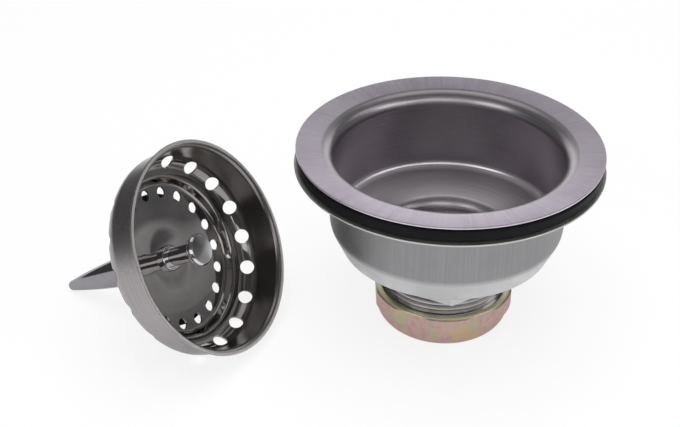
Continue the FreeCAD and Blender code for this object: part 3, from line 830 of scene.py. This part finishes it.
def brushedOutside():
    # fine marks that run round the basket's wall
    finish = outsideFinish
    material, tree, shader = newMaterial("brushed_outside")
    at = roundCoords(tree, lying)
    marks = streaksRound(tree, at, *finish["roundMarks"])
    cloud = noise(tree, at["spot"], *finish["clouds"])
    feed(tree, shader, {
        "Base Color": blendColours(tree, stretch(tree, marks), *finish["tones"]), "Metallic": 1,
        "Roughness": stretch(tree, cloud, ends=finish["roughness"]),
    })
    return material


upright = lying.inverted()
outsideRadius = (wallTop + shell["sheet"] / 2) * mm * outsideFinish["radiusShare"]


def onOutside(face):  # a face of the basket's wall that looks away from its axis
    away = Vector((*(upright @ face.center).xy, 0))
    facing = (upright.to_3x3() @ face.normal).dot(away.normalized())
    return away.length > outsideRadius and facing > outsideFinish["facingShare"]


chromeFinish = {
    "knobTones": ((0.58, 0.57, 0.58), (0.70, 0.69, 0.70)),
    # the spear's tones are far darker than chrome: painted shade
    "spearShadedTones": ((0.24, 0.235, 0.25), (0.33, 0.32, 0.34)),
    "smears": (240, 5, 0.65), "smearSpan": (0.4, 0.75), "roughness": (0.03, 0.08),
    "faceFrom": (74.0, 74.2), "faceRoughness": 0.16,
}


def brightChrome(name, tones):
    # smeared mirror chrome, duller on the knob's face
    finish = chromeFinish
    material, tree, shader = newMaterial(name)
    at = roundCoords(tree, lying)
    smear = noise(tree, at["spot"], *finish["smears"])
    onFace = past(tree, at["height"], finish["faceFrom"], finish["faceRoughness"])
    rough = stretch(tree, smear, finish["smearSpan"], finish["roughness"])
    feed(tree, shader, {
        "Base Color": blendColours(tree, smear, *tones), "Metallic": 1,
        "Roughness": sums(tree, "ADD", rough, onFace),
    })
    return material


def paint(piece, *materials):
    piece.data.materials.clear()
    for material in materials:
        piece.data.materials.append(material)


steel = brushedStainless()
zincSheet = galvanisedSteel()
chrome = brightChrome("bright_chrome", chromeFinish["knobTones"])
paint(drainShell, steel)
paint(neckThread, threadSteel())
paint(rubberRing, blackRubber())
paint(slipRing, tanFibre())
paint(cupShell, zincSheet)
paint(cupCollar, zincSheet)
paint(nutShell, dichromateZinc())
paint(basket, polishedInside(), brushedOutside())
for face in basket.data.polygons:
    face.material_index = int(onOutside(face))
paint(knob, chrome)
paint(ferrule, chrome)
# the spear gets a darker copy of the chrome: painted shade
paint(spear, brightChrome("spear_chrome_shaded", chromeFinish["spearShadedTones"]))
paint(stopper, blackRubber(lying))
paint(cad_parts["guide_cross"], stampedStainless())
paint(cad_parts["backing_washer"], stampedStainless(lying))
paint(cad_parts["slip_washer"], whitePlastic())
print("materials done")

# studio: white floor, dim surroundings, soft boxes

studio = {
    "floorSize": 8.0, "floorTones": ((0.88, 0.88, 0.88), (0.9, 0.9, 0.9)), "floorGrain": 30,
    "floorRoughness": 0.9, "floorSeen": 0.85, "floorMirrored": 0.4, "air": 0.11, "aim": (-0.04, 0.0, 0.04),
}
softBoxes = [
    {"name": "back_box", "spot": (0.0, 0.62, 0.25), "size": (0.9, 0.26), "glow": 1.06, "mirrored": True},
    {"name": "left_box", "spot": (-0.66, -0.62, 0.6), "size": (0.6, 0.36), "glow": 2.0, "mirrored": True},
    {"name": "middle_box", "spot": (0.06, -0.78, 0.6), "size": (0.7, 0.36), "glow": 1.2, "mirrored": True},
    {"name": "front_box", "spot": (0.84, -0.62, 0.6), "size": (0.8, 0.36), "glow": 1.5, "mirrored": True},
    {"name": "over_box", "spot": (0.0, 0.28, 0.9), "size": (0.8, 0.5), "glow": 0.65, "mirrored": True},
    {"name": "right_box", "spot": (0.95, -0.1, 0.7), "size": (0.9, 0.3), "glow": 0.8, "mirrored": True},
    {"name": "top_box", "spot": (0.0, -0.1, 1.1), "size": (1.0, 1.0), "glow": 3.6, "mirrored": False},
]
white = (1, 1, 1, 1)


def whiteFloor():
    # white to the camera, greyer in reflections, and still with the object's shadow
    material, tree, shader = newMaterial("studio_floor")
    light = tree.nodes.new("ShaderNodeLightPath")
    grain = noise(tree, tree.nodes.new("ShaderNodeTexCoord").outputs["Object"], studio["floorGrain"])
    feed(tree, shader, {"Base Color": blendColours(tree, grain, *studio["floorTones"]),
                        "Roughness": studio["floorRoughness"]})
    glow = addNode(tree, "Emission", {"Color": white, "Strength": 1.0})
    seen = sums(tree, "ADD", sums(tree, "MULTIPLY", light.outputs["Is Camera Ray"], studio["floorSeen"]),
                sums(tree, "MULTIPLY", light.outputs["Is Glossy Ray"], studio["floorMirrored"]))
    mix = addNode(tree, "MixShader", {0: seen, 1: shader.outputs[0], 2: glow})
    tree.links.new(mix, tree.nodes["Material Output"].inputs["Surface"])
    return material


deselect()
bpy.ops.mesh.primitive_plane_add(size=studio["floorSize"])
floor = bpy.context.object
floor.name = "studio_floor"
paint(floor, whiteFloor())

for item in softBoxes:
    deselect()
    bpy.ops.object.light_add(type="AREA", location=item["spot"])
    box = bpy.context.object
    box.name = item["name"]
    box.data.shape = "RECTANGLE"
    box.data.size, box.data.size_y = item["size"]
    box.data.energy = item["glow"] * math.pi * item["size"][0] * item["size"][1]
    box.rotation_euler = (Vector(studio["aim"]) - Vector(item["spot"])).to_track_quat("-Z", "Y").to_euler()
    box.visible_glossy = item["mirrored"]

world = bpy.data.worlds.new("studio_air")
world.use_nodes = True
air = world.node_tree
path = air.nodes.new("ShaderNodeLightPath")
toCamera = sums(air, "MULTIPLY", path.outputs["Is Camera Ray"], 1 - studio["air"])
feed(air, air.nodes["Background"], {"Color": white, "Strength": sums(air, "ADD", toCamera, studio["air"])})
bpy.context.scene.world = world

view = {"spot": (-0.04066, -0.40788, 0.3011), "pitch": 32.187, "lens": 66.64, "sensor": 36.0, "nearest": 0.01}
deselect()
bpy.ops.object.camera_add(location=view["spot"], rotation=(math.radians(90 - view["pitch"]), 0, 0))
camera = bpy.context.object
camera.data.lens = view["lens"]
camera.data.sensor_width = view["sensor"]
camera.data.clip_start = view["nearest"]
bpy.context.scene.camera = camera
bpy.context.scene.view_settings.view_transform = "Standard"
print("studio done")
